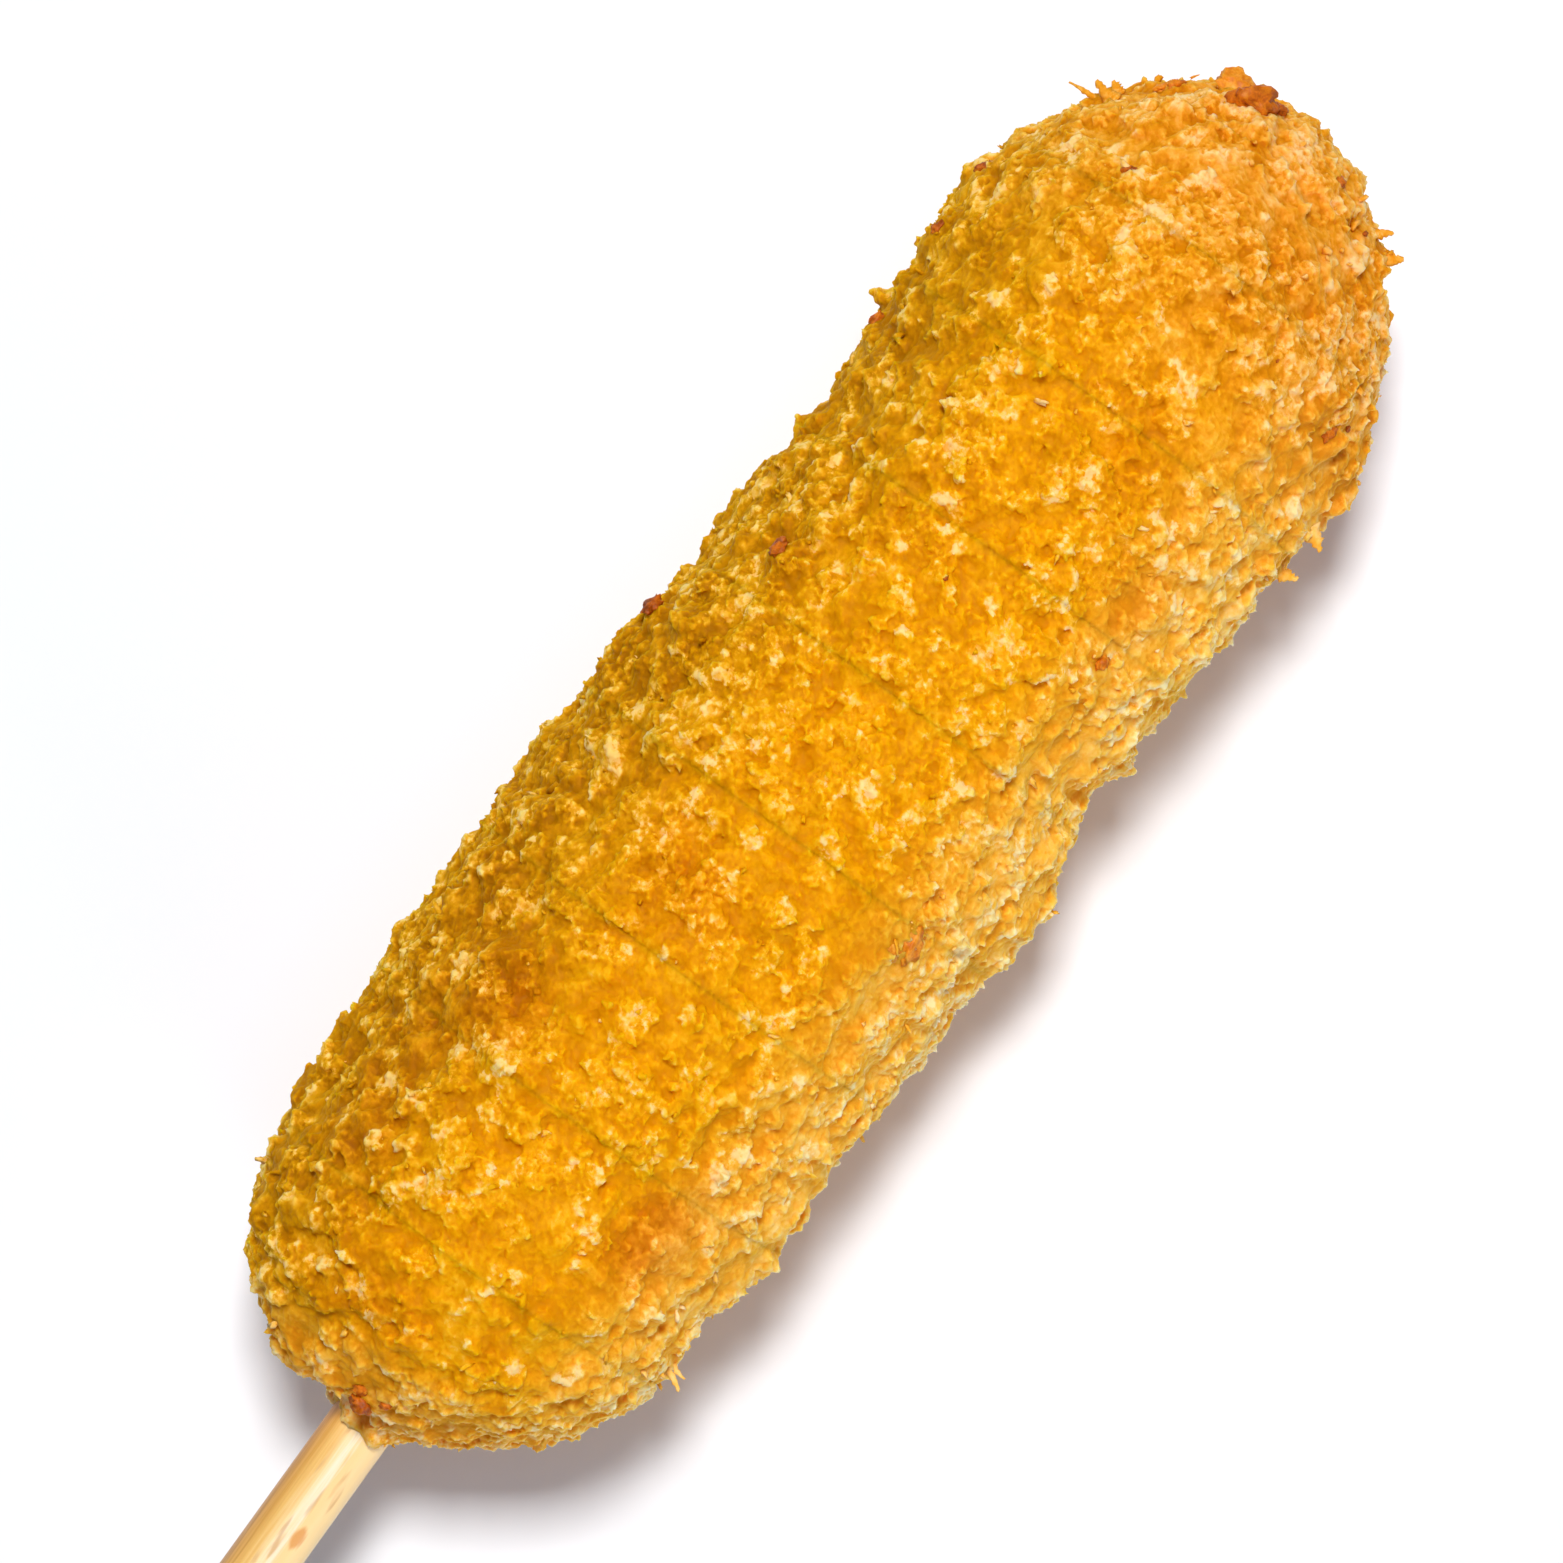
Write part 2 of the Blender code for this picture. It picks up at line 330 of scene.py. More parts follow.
def bamboo_material():
    """Pale bamboo: honey streaks along the stick, with a painted highlight along its upper middle and painted shade
    darkening its +Y edge.
    """
    material, make, shader = new_material("bamboo")
    place = make.node("TexCoord", output=3)
    centred = make.node("Mapping", Vector=place, Location=(0.0, -AXIS_Y, -AXIS_Z), Scale=(1.0, 1.0, 1.0))
    along = make.node("Mapping", Vector=centred, Scale=(0.035, 1.0, 1.0))
    fibres = make.node("TexNoise", Vector=along, Scale=2200.0, Detail=3.0, Roughness=0.65)
    bands = make.node("TexNoise", Vector=along, Scale=620.0, Detail=2.0, Roughness=0.5)
    across = make.node("SeparateXYZ", output=1, Vector=centred) * (0.5 / STICK_RADIUS) + 0.5
    # across the stick: a painted highlight along its upper middle and painted shade towards its +Y edge, broken up by
    # the streaks
    painted_light_and_streaks = across + fibres * 0.44 + bands * 0.34 - 0.39
    # cream in the middle as a painted highlight, darker at the +Y edge as painted shade
    wood = make.node(
        "ValToRGB",
        stops=(
            (0.02, linear(252, 216, 154)),
            (0.16, linear(255, 216, 148)),
            (0.34, linear(252, 213, 148)),
            (0.46, linear(252, 232, 198)),
            (0.56, linear(250, 216, 156)),
            (0.72, linear(240, 190, 106)),
            (0.90, linear(216, 158, 72)),
            (1.0, linear(186, 128, 52)),
        ),
        Fac=painted_light_and_streaks,
    )
    scar = make.node("TexNoise", Vector=make.node("Mapping", Vector=centred, Scale=(0.16, 1.0, 1.0)), Scale=900.0, Detail=2.0)
    wood = make.mix(scar.between(0.60, 0.70) * 0.55, wood, linear(196, 134, 62))
    away = make.node("VectorMath", settings={"operation": "SUBTRACT"}, in0=centred, in1=BLEMISH)
    away = make.node("VectorMath", settings={"operation": "MULTIPLY"}, in0=away, in1=(0.5, 1.0, 0.0))
    away = make.node("VectorMath", output=1, settings={"operation": "LENGTH"}, in0=away)
    spot = 1.0 - away * (1 / (0.8 * MM)) + fibres * 0.8 - 0.4
    wood = make.mix(spot.between(0.2, 0.6) * 0.8, wood, linear(226, 150, 70))
    connect(shader, "Base Color", wood)
    connect(shader, "Roughness", 0.30 + fibres * 0.25)
    bump = make.node("Bump", Strength=0.4, Distance=0.05 * MM, Height=fibres)
    connect(shader, "Normal", bump)
    shader.inputs["Subsurface Weight"].default_value = 0.10
    shader.inputs["Subsurface Radius"].default_value = (1.0, 0.6, 0.3)
    shader.inputs["Subsurface Scale"].default_value = 0.5 * MM
    return material


def floor_material():
    material, make, shader = new_material("studio_floor")
    shader.inputs["Base Color"].default_value = (0.89, 0.89, 0.90, 1.0)
    shader.inputs["Roughness"].default_value = 0.9
    shader.inputs["Specular IOR Level"].default_value = 0.1
    return material


# ---------------------------------------------------------------- meshes


def add_piece(name, mesh, material, replaced=None):
    """Puts a finished mesh in the scene as a piece that rides on the one body."""
    piece = bpy.data.objects.new(name, mesh)
    bpy.context.scene.collection.objects.link(piece)
    mesh.materials.clear()
    mesh.materials.append(material)
    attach(piece, "root")
    if replaced:
        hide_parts(replaced)
    return piece


def set_values(mesh, **named):
    """Stores a number for each vertex under each name."""
    for name, values in named.items():
        attribute = mesh.attributes.new(name, "FLOAT", "POINT")
        attribute.data.foreach_set("value", np.asarray(values, np.float32))


def positions(mesh):
    co = np.empty(len(mesh.vertices) * 3, np.float32)
    mesh.vertices.foreach_get("co", co)
    return co.reshape(-1, 3).astype(float)


def normals(mesh):
    found = np.empty(len(mesh.vertices) * 3, np.float32)
    mesh.vertex_normals.foreach_get("vector", found)
    return found.reshape(-1, 3).astype(float)


def triangles(mesh):
    mesh.calc_loop_triangles()
    found = np.empty(len(mesh.loop_triangles) * 3, np.int32)
    mesh.loop_triangles.foreach_get("vertices", found)
    return found.reshape(-1, 3)


def unit(vectors):
    return vectors / np.maximum(np.linalg.norm(vectors, axis=-1, keepdims=True), 1e-12)


def evaluated(mesh, *modifiers):
    """A new mesh, as modifiers leave this one. Each is given as its kind and its settings."""
    holder = bpy.data.objects.new("holder", mesh)
    bpy.context.scene.collection.objects.link(holder)
    for kind, settings in modifiers:
        modifier = holder.modifiers.new(kind, kind)
        for name, value in settings.items():
            setattr(modifier, name, value)
    made = bpy.data.meshes.new_from_object(holder.evaluated_get(bpy.context.evaluated_depsgraph_get()))
    bpy.data.objects.remove(holder)
    return made


def evenly_meshed(cell):
    """A modifier that makes a closed mesh again with faces of one size all over, for evaluated()."""
    return "REMESH", {"mode": "VOXEL", "voxel_size": cell}


def displaced(size, strength, **texture_settings):
    """A modifier that roughens a mesh with noise of that size, for evaluated()."""
    texture = bpy.data.textures.new("grain", "CLOUDS")
    texture.noise_scale = size
    for name, value in texture_settings.items():
        setattr(texture, name, value)
    settings = {"texture": texture, "texture_coords": "LOCAL", "strength": strength, "mid_level": 0.5}
    if texture.cloud_type == "COLOR":
        settings["direction"] = "RGB_TO_XYZ"
    return "DISPLACE", settings


def proud(mesh, rounds):
    """How far each corner stands out from the mesh smoothed that many times over, in millimetres."""
    smooth = evaluated(mesh, ("SMOOTH", {"factor": 0.5, "iterations": rounds}))
    return ((positions(mesh) - positions(smooth)) * normals(smooth)).sum(axis=1) / MM


def gathered(points, places):
    """For each point, how strongly it belongs to the named places on the upper side, from 0 up."""
    total = np.zeros(len(points))
    for along, across, reach, strength in places:
        x = NECK_X + along * MM
        y = AXIS_Y + across * MM
        z = AXIS_Z + math.sqrt(max(0.0, BODY_RADIUS**2 - (across * MM) ** 2))
        away = ((points - np.array((x, y, z))) ** 2).sum(axis=1) / (reach * MM) ** 2
        total += strength * np.exp(-away)
    return total


def sideways(points):
    """From -1 on the -Y side to 1 on the +Y side."""
    return np.clip((points[:, 1] - AXIS_Y) / BODY_RADIUS, -1.0, 1.0)


def browning(points):
    """The broad colours of the crust at each point, as the numbers that its material reads, with painted shade on the
    +Y flank and painted light on the -Y flank and the neck end.
    """
    side = sideways(points)
    along = (points[:, 0] - NECK_X) / MM
    return {
        "toast": gathered(points, ORANGE) - 0.7 * gathered(points, YELLOW),
        # painted shade on the +Y flank, fading towards the tip
        "olive": smooth_step(side, 0.15, 0.95) * (1 - 0.3 * smooth_step(along, 90, 125)),
        # painted light on the -Y flank and the neck end, and the paler lip of crust round the stick
        "pale": 0.95 * smooth_step(-side, 0.35, 0.95) + 0.5 * smooth_step(-along - 3 * side, -8, -1)
        + 0.9 * np.exp(-(((points - STICK_ENTRY) / (4.5 * MM)) ** 2).sum(axis=1)),
        "rosy": smooth_step(along - 8 * side, 98, 124) + 0.6 * smooth_step(-along - 4 * side, -8, 0),
    }


# ---------------------------------------------------------------- what the crumbs lie on


def smooth_bed():
    """The body without its hole, a little smaller, with faces of one size all over."""
    shape = bmesh.new()
    shape.from_mesh(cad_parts["breaded_body"].data)
    bmesh.ops.remove_doubles(shape, verts=shape.verts, dist=1e-6)
    rim = STICK_RADIUS + 0.35 * MM
    in_hole = [
        face
        for face in shape.faces
        if all(
            math.hypot(v.co.y - AXIS_Y, v.co.z - AXIS_Z) < rim and v.co.x < STICK_HIGH.x + MM
            for v in face.verts
        )
    ]
    bmesh.ops.delete(shape, geom=in_hole, context="FACES")
    bmesh.ops.holes_fill(shape, edges=[edge for edge in shape.edges if edge.is_boundary], sides=0)
    bmesh.ops.recalc_face_normals(shape, faces=shape.faces)
    closed = bpy.data.meshes.new("bed")
    shape.to_mesh(closed)
    shape.free()
    mesh = evaluated(closed, evenly_meshed(BED_CELL))
    points = positions(mesh) - normals(mesh) * BED_INSET
    points[:, 2] = np.maximum(points[:, 2], 0.3 * MM)
    mesh.vertices.foreach_set("co", points.astype(np.float32).ravel())
    mesh.update()
    return mesh


class Ground:
    """A closed surface that crumbs are strewn on."""

    def __init__(self, mesh):
        self.points = positions(mesh)
        self.outward = normals(mesh)
        self.corners = triangles(mesh)
        first, second, third = (self.points[self.corners[:, i]] for i in range(3))
        self.area = np.linalg.norm(np.cross(second - first, third - first), axis=1) / 2
        self.middle = (first + second + third) / 3

    def strewn(self, random, count, density, apart=None):
        """Places for about count crumbs: points on the surface and outward directions."""
        chance = self.area * np.maximum(density(self.middle), 0.0)
        wanted = count * 5 if apart else count
        chosen = random.choice(len(self.corners), wanted, p=chance / chance.sum())
        share = random.random((wanted, 2))
        folded = share.sum(axis=1) > 1
        share[folded] = 1 - share[folded]
        weights = np.column_stack((1 - share.sum(axis=1), share))
        corners = self.corners[chosen]
        points = (self.points[corners] * weights[:, :, None]).sum(axis=1)
        outward = unit((self.outward[corners] * weights[:, :, None]).sum(axis=1))
        if apart:
            cells = np.floor(points / (apart * MM)).astype(int)
            kept = random.permutation(np.unique(cells, axis=0, return_index=True)[1])[:count]
            points, outward = points[kept], outward[kept]
        return points, outward


# ---------------------------------------------------------------- crumbs


def ragged_shapes(random, kinds, corners, flat, lobes, spikes):
    """Several ragged lumps about 2 across, as corner positions, and the faces of each."""
    shapes = []
    for _ in range(kinds):
        shape = bmesh.new()
        turn = random.random() * 7
        for number in range(corners):
            height = 1 - (2 * number + 1) / corners
            round_about = turn + number * 2.39996 + random.normal() * 0.25
            reach = math.sqrt(1 - height**2)
            shape.verts.new((reach * math.cos(round_about), reach * math.sin(round_about), height))
        bmesh.ops.convex_hull(shape, input=shape.verts[:])
        bmesh.ops.recalc_face_normals(shape, faces=shape.faces)
        shift = Vector(random.random(3) * 100)
        for corner in shape.verts:
            way = corner.co.normalized()
            reach = 1 + lobes * noise.noise(way * 1.3 + shift) + 0.6 * lobes * noise.noise(way * 2.9 + shift)
            reach += spikes * noise.noise(way * 6.5 - shift)
            corner.co = way * max(reach, 0.25)
            corner.co.z = corner.co.z * flat + 0.25 * noise.noise(Vector((way.x, way.y, 0)) * 2 + shift)
        shape.verts.index_update()
        shapes.append(([tuple(v.co) for v in shape.verts], [[v.index for v in face.verts] for face in shape.faces]))
        shape.free()
    return [(np.array(co), np.array(faces)) for co, faces in shapes]


def joined_mesh(name, lots):
    """One mesh of many copies. A lot is corner positions (copies, corners, 3) and the faces of one copy."""
    all_corners, all_faces = [], []
    used = 0
    for corners, faces in lots:
        copies, each = corners.shape[:2]
        all_corners.append(corners.reshape(-1, 3))
        all_faces.append((faces[None] + (np.arange(copies) * each)[:, None, None] + used).reshape(-1, 3))
        used += copies * each
    corners = np.concatenate(all_corners)
    faces = np.concatenate(all_faces)
    mesh = bpy.data.meshes.new(name)
    mesh.vertices.add(len(corners))
    mesh.vertices.foreach_set("co", corners.astype(np.float32).ravel())
    mesh.loops.add(faces.size)
    mesh.loops.foreach_set("vertex_index", faces.astype(np.int32).ravel())
    mesh.polygons.add(len(faces))
    mesh.polygons.foreach_set("loop_start", np.arange(0, faces.size, 3, dtype=np.int32))
    mesh.update(calc_edges=True)
    return mesh


def laid_out(random, places, shapes, size, stretch, tilt, lift):
    """Copies of the shapes at the places, each turned, sized and tilted its own way, as lots for joined_mesh.

    Each lot comes with the numbers of its places, because the places are dealt out to the shapes.
    """
    points, outward = places
    count = len(points)
    across = unit(np.cross(outward, random.normal(size=(count, 3))))
    aside = np.cross(outward, across)
    lean = random.normal(size=count)[:, None] * tilt
    upright = outward * np.cos(lean) + across * np.sin(lean)
    across = across * np.cos(lean) - outward * np.sin(lean)
    low, high = size
    half = (low + (high - low) * random.random(count) ** 1.5) / 2 * MM
    scale = half[:, None] * (np.array(stretch) * (1 + 0.7 * (random.random((count, 3)) - 0.5)))
    axes = np.stack((across, aside, upright), axis=1)
    centre = points + outward * (np.broadcast_to(lift, count) * MM)[:, None]
    dealt = random.integers(len(shapes), size=count)
    lots = []
    for number, (corners, faces) in enumerate(shapes):
        mine = np.flatnonzero(dealt == number)
        local = corners[None] * scale[mine][:, None, :]
        placed = centre[mine][:, None, :] + np.einsum("nvk,nkc->nvc", local, axes[mine])
        lots.append((mine, placed, faces))
    return lots


def on_all(points):
    along = (points[:, 0] - NECK_X) / MM
    fine = 0.35 * np.clip(gathered(points, FINE_GRAINED), 0, 1)
    return 1.0 - fine - 0.35 * smooth_step(-sideways(points), 0.4, 0.85) - 0.25 * smooth_step(-along, -9, -3)


def on_clumps(points):
    rough = 0.10 + 1.6 * gathered(points, CLUMPED) + 0.5 * smooth_step(sideways(points), 0.2, 0.6)
    return rough * (1 - np.clip(gathered(points, FINE_GRAINED), 0, 1))


def knotted(points):
    """1 where the crumbs have caught in knots and 0 between, for each point."""
    size = 2.3 * MM
    worth = np.zeros(len(points))
    for share, weight in ((1, 1.0), (0.5, 0.5), (3.6, 0.55)):
        worth += weight * np.array([noise.noise(Vector(point) / (size * share)) for point in points])
    return smooth_step(worth, -0.12, 0.24)


def in_knots(random, places, share_between):
    """The places that fall in knots, and that share of the places between them."""
    points, outward = places
    kept = knotted(points) > random.random(len(points)) * (1 - share_between)
    return points[kept], outward[kept]


def clump_places(random, ground, count, each, reach, height):
    """Places for crumbs that are heaped up in clumps: points, outward and how high each lies."""
    middles, outward = ground.strewn(random, count, on_clumps, apart=reach * 1.4)
    points, ways, lifts = [], [], []
    for middle, way in zip(middles, outward):
        side = unit(np.cross(way, random.normal(size=3)))
        other = np.cross(way, side)
        for _ in range(random.integers(each // 2, each + 1)):
            angle = random.random() * 2 * math.pi
            share = math.sqrt(random.random())
            points.append(middle + (side * math.cos(angle) + other * math.sin(angle)) * share * reach * MM)
            ways.append(way)
            lifts.append(0.2 + (height - 0.2) * (1 - share**2) * random.random() ** 0.6)
    return (np.array(points), np.array(ways)), np.array(lifts)


def places_round_stick(random, count):
    """Places on the stick's surface where the crust ends on it."""
    angle = random.random(count) * 2 * math.pi
    outward = np.column_stack((np.zeros(count), np.cos(angle), np.sin(angle)))
    end = -0.2 + 0.9 * np.sin(angle * 2 + 1) * random.random(count) + random.normal(size=count) * 0.4
    points = STICK_ENTRY + outward * STICK_RADIUS
    points[:, 0] += end * MM
    return points, outward


class Heap:
    """Crumbs laid on a ground, to be fused into one surface."""

    def __init__(self, random, ground):
        self.random = random
        self.lots = [(ground.points[None], ground.corners)]
        self.middles = []

    def add(self, places, shapes, size, stretch, tilt, low, high=None):
        lift = low if high is None else self.random.uniform(low, high, len(places[0]))
        for _, corners, faces in laid_out(self.random, places, shapes, size, stretch, tilt, lift):
            self.lots.append((corners, faces))
            self.middles.append(corners.mean(axis=1))

    def mesh(self):
        return joined_mesh("heap", self.lots)


def crumb_layer(random, bed):
    """The crumbs on the bed: flakes, nuggets and clumps, without their fine grain."""
    heap = Heap(random, bed)
    flakes = ragged_shapes(random, 24, 42, 0.45, 0.9, 0.4)
    nuggets = ragged_shapes(random, 24, 36, 0.75, 0.8, 0.3)
    heap.add(bed.strewn(random, 1500, on_all, apart=1.5), flakes, (1.3, 3.0), (1.2, 0.8, 0.9), 0.30, -0.05, 0.25)
    heap.add(bed.strewn(random, 5000, on_all, apart=0.9), nuggets, (0.9, 2.0), (1.1, 0.9, 1), 0.8, -0.25, 0.25)
    places = in_knots(random, bed.strewn(random, 9000, on_all, apart=0.8), 0.12)
    heap.add(places, nuggets, (0.7, 1.7), (1.1, 0.9, 1), 0.8, -0.05, 0.40)
    places, lifts = clump_places(random, bed, 130, 16, 1.6, 1.4)
    heap.add(places, nuggets, (0.7, 1.6), (1.1, 0.9, 1), 0.8, lifts)
    heap.add(places_round_stick(random, 70), nuggets, (0.7, 1.7), (1.1, 0.9, 1), 0.8, -0.1, 0.4)
    return evaluated(heap.mesh(), evenly_meshed(LAYER_CELL)), np.concatenate(heap.middles)


def grain_heap(random, layer):
    """The crumbs with the grains that they are made of."""
    heap = Heap(random, layer)
    grains = ragged_shapes(random, 24, 12, 0.80, 0.7, 0.5)
    places = in_knots(random, layer.strewn(random, 110000, on_all), 0.50)
    heap.add(places, grains, (0.28, 0.60), (1.3, 0.8, 1), 0.9, -0.02, 0.13)
    places = in_knots(random, layer.strewn(random, 55000, on_all), 0.15)
    heap.add(places, grains, (0.40, 0.85), (1.3, 0.8, 1), 0.9, -0.02, 0.22)
    return heap.mesh(), np.concatenate(heap.middles)


def baked_crust(heap, cell, lowest, highest):
    """The heap fused into one surface with a fine ragged grain, between two heights."""
    crust = evaluated(
        heap,
        evenly_meshed(cell),
        displaced(0.45 * MM, 0.30 * MM, cloud_type="COLOR", noise_depth=1),
    )
    points = positions(crust)
    points[:, 2] = np.maximum(points[:, 2], 0.0)
    crust.vertices.foreach_set("co", points.astype(np.float32).ravel())
    return part_of(crust, {}, (-1, -1, lowest - CUT_MARGIN), (1, 1, highest + CUT_MARGIN))


def nearest(points, middles, values):
    """For each point, the value of the middle nearest to it."""
    tree = KDTree(len(middles))
    for index, middle in enumerate(middles):
        tree.insert(middle, index)
    tree.balance()
    return values[[tree.find(point)[1] for point in points]]


def crust_values(mesh, grain_middles, grain_tones):
    """The numbers that the crust's material reads, for each corner."""
    points = positions(mesh)
    tone, crumb = nearest(points, grain_middles, grain_tones).T
    return {
        "crest": np.clip(proud(mesh, 14) / 0.16, -1, 1),
        "rise": np.clip(proud(mesh, 120) / 0.50, -1, 1),
        "tone": tone,
        "crumb": crumb,
        "knot": knotted(points),
        **browning(points),
    }


def part_of(mesh, values, low, high):
    """The mesh's faces that lie between two corners of a box, as a new mesh with its values."""
    points = positions(mesh)
    corners = np.empty(len(mesh.loops), np.int32)
    mesh.loops.foreach_get("vertex_index", corners)
    quads = corners.reshape(-1, 4)
    first = points[quads[:, 0]]
    quads = quads[((first >= low) & (first <= high)).all(axis=1)]
    used, renumbered = np.unique(quads, return_inverse=True)
    part = bpy.data.meshes.new(mesh.name)
    part.vertices.add(len(used))
    part.vertices.foreach_set("co", points[used].astype(np.float32).ravel())
    part.loops.add(quads.size)
    part.loops.foreach_set("vertex_index", renumbered.astype(np.int32).ravel())
    part.polygons.add(len(quads))
    part.polygons.foreach_set("loop_start", np.arange(0, quads.size, 4, dtype=np.int32))
    part.update(calc_edges=True)
    set_values(part, **{name: each[used] for name, each in values.items()})
    return part


def cut_piece(mesh, values, name, planes):
    """A closed piece of the crust: what lies behind every plane, given as a point on it and its way out."""
    low = np.array(BODY_LOW) - 10 * MM
    high = np.array(BODY_HIGH) + 10 * MM
    for point, way in planes:
        if way.x > 0:
            high[0] = point[0] + CUT_MARGIN
        elif way.x < 0:
            low[0] = point[0] - CUT_MARGIN
    shape = bmesh.new()
    shape.from_mesh(part_of(mesh, values, low, high))
    for face in shape.faces:
        face.smooth = True
    for point, way in planes:
        level = way.dot(point)
        near = [face for face in shape.faces if way.dot(face.verts[0].co) > level - CUT_MARGIN]
        edges = {edge for face in near for edge in face.edges}
        corners = {corner for face in near for corner in face.verts}
        bmesh.ops.bisect_plane(
            shape,
            geom=near + list(edges) + list(corners),
            plane_co=point,
            plane_no=way,
            clear_outer=True,
        )
        rim = [edge for edge in shape.edges if edge.is_boundary]
        rim = [edge for edge in rim if all(abs(way.dot(v.co) - level) < 1e-6 for v in edge.verts)]
        caps = bmesh.ops.holes_fill(shape, edges=rim, sides=0)["faces"]
        for cap in caps:
            cap.smooth = False
    big = [face for face in shape.faces if len(face.verts) > 4]
    bmesh.ops.triangulate(shape, faces=big)
    piece = bpy.data.meshes.new(name)
    shape.to_mesh(piece)
    shape.free()
    return piece


def crust(random, bed, material):
    """The crumbs baked together, divided into closed pieces. Returns the ground for loose crumbs."""
    layer_mesh, crumb_middles = crumb_layer(random, bed)
    layer = Ground(layer_mesh)
    heap, middles = grain_heap(random, layer)
    crumb_tones = random.random(len(crumb_middles))
    tones = np.column_stack((random.random(len(middles)), nearest(middles, crumb_middles, crumb_tones)))
    upper = baked_crust(heap, UPPER_CELL, UNDER_HEIGHT, BODY_HIGH.z + 10 * MM)
    upper_values = crust_values(upper, middles, tones)
    under = baked_crust(layer_mesh, UNDER_CELL, BODY_LOW.z - 10 * MM, UNDER_HEIGHT)
    under_values = crust_values(under, crumb_middles, np.column_stack((crumb_tones, crumb_tones)))

    stations = [BODY_LOW.x + share * (BODY_HIGH.x - BODY_LOW.x) for share in UPPER_CUTS]
    seam = ((0, 0, UNDER_HEIGHT), Vector((0, 0, -1)))
    pieces = [("crust_underside", under, under_values, [((0, 0, UNDER_HEIGHT), Vector((0, 0, 1)))])]
    for number, (start, end) in enumerate(zip([None] + stations, stations + [None])):
        planes = []
        if start is not None:
            planes.append(((start, 0, 0), Vector((-1, 0, 0))))
        if end is not None:
            planes.append(((end, 0, 0), Vector((1, 0, 0))))
        pieces.append((f"crust_top_{number + 1}", upper, upper_values, planes + [seam]))
    for name, whole, values, planes in pieces:
        mesh = cut_piece(whole, values, name, planes)
        add_piece(name, mesh, material, "breaded_body")
    return layer


def loose_crumbs(name, random, places, material, shapes, size, stretch, tilt, low, high, rise=-0.1):
    """One piece of loose crumbs of one kind."""
    points, outward = places
    lots = laid_out(random, places, shapes, size, stretch, tilt, random.uniform(low, high, len(points)))
    crest, spots, tone = [], [], []
    for mine, corners, _ in lots:
        corners[:, :, 2] = np.maximum(corners[:, :, 2], 0.0)
        height = ((corners - corners.mean(axis=1, keepdims=True)) * outward[mine][:, None, :]).sum(axis=2) / MM
        crest.append(np.clip(height / 0.25, -1, 1).ravel())
        spots.append(np.repeat(points[mine], corners.shape[1], axis=0))
        tone.append(np.repeat(random.random(len(mine)), corners.shape[1]))
    mesh = joined_mesh(name, [(corners, faces) for _, corners, faces in lots])
    crest, spots, tone = (np.concatenate(each) for each in (crest, spots, tone))
    set_values(mesh, crest=crest * 0.6, rise=np.full(len(crest), rise), tone=tone, crumb=tone, knot=np.ones(len(crest)), **browning(spots))
    mesh.shade_smooth()
    return add_piece(name, mesh, material)


def crumb_cover(random, layer, material):
    """The loose crumbs on top of the crust."""
    grit = ragged_shapes(random, 16, 12, 0.80, 0.8, 0.6)
    wisps = ragged_shapes(random, 16, 34, 1.0, 0.7, 0.7)
    places = in_knots(random, layer.strewn(random, 4000, on_all), 0.1)
    loose_crumbs("panko_grit", random, places, material, grit, (0.25, 0.50), (1.2, 0.8, 1), 0.8, 0.02, 0.16)
    places = layer.strewn(random, 260, on_all)
    loose_crumbs("panko_wisps", random, places, material, wisps, (0.5, 1.0), (0.6, 0.45, 1.3), 0.7, 0.10, 0.35)


def spot(layer, along, across):
    """The top of the crust at a place given in millimetres, or its edge if the place is beside it, and its way out."""
    target = np.array((NECK_X + along * MM, AXIS_Y + across * MM))
    away = np.hypot(*(layer.points[:, :2] - target).T)
    near = np.flatnonzero(away < max(0.6 * MM, away.min() + 0.3 * MM))
    point = layer.points[near[layer.points[near, 2].argmax()]]
    close = ((layer.points - point) ** 2).sum(axis=1) < (1.5 * MM) ** 2
    return point, unit(layer.outward[close].mean(axis=0))


def set_on(layer, shape, along, across, size, turn, lift):
    """A copy of a shape on the crust: its length, width and height, and the turn of its length from the stick."""
    point, out = spot(layer, along, across)
    angle = math.radians(turn)
    aside = unit(np.cross(out, (math.cos(angle), math.sin(angle), 0.0)))
    axes = np.array((np.cross(aside, out), aside, out))
    corners, faces = shape
    placed = point + out * lift * MM + (corners * np.array(size) / 2 * MM) @ axes
    return placed[None], faces


def browned_crumbs(random, layer):
    """The crumbs that have fried to a red brown."""
    shapes = ragged_shapes(random, len(BROWNED), 260, 0.85, 0.55, 0.22)
    lots, tones = [], []
    for shape, (along, across, size, turn, lift, tone) in zip(shapes, BROWNED):
        lots.append(set_on(layer, shape, along, across, size, turn, lift))
        tones.append(np.full(len(shape[0]), tone))
    mesh = joined_mesh("browned_crumbs", lots)
    set_values(mesh, tone=np.concatenate(tones))
    mesh.shade_smooth()
    return add_piece("browned_crumbs", mesh, browned_material())


